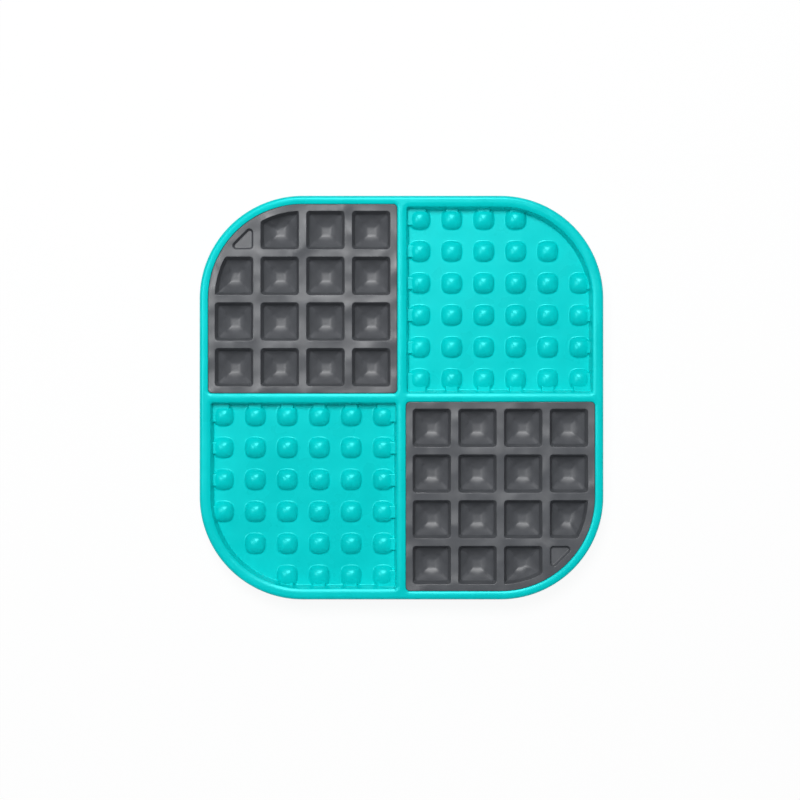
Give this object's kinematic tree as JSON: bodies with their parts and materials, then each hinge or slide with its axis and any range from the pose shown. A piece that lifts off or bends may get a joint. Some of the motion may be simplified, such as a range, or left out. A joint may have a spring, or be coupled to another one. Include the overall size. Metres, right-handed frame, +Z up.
{
  "type": "lick mat",
  "caption": "Square lick mat with rounded corners: a rigid tray with studded dishes and soft inserts of square wells, on rubber feet.",
  "frame": {"origin": "on the table, under the middle of the mat", "axes": "+Z up, +Y to the rear (the top of the picture), +X to the right; the inserts are rear left and front right"},
  "size_m": [0.2, 0.2, 0.018],
  "materials": {
    "tray_plastic": "injection-moulded polypropylene, turquoise, softly polished",
    "insert_rubber": "moulded thermoplastic rubber, mid grey, satin",
    "foot_rubber": "moulded rubber, dark grey, matt"
  },
  "bodies": {
    "root": {"tray": "tray_plastic", "insert_rear_left": "insert_rubber", "insert_front_right": "insert_rubber", "foot_front_left": "foot_rubber", "foot_front_right": "foot_rubber", "foot_rear_left": "foot_rubber", "foot_rear_right": "foot_rubber"}
  },
  "joints": []
}
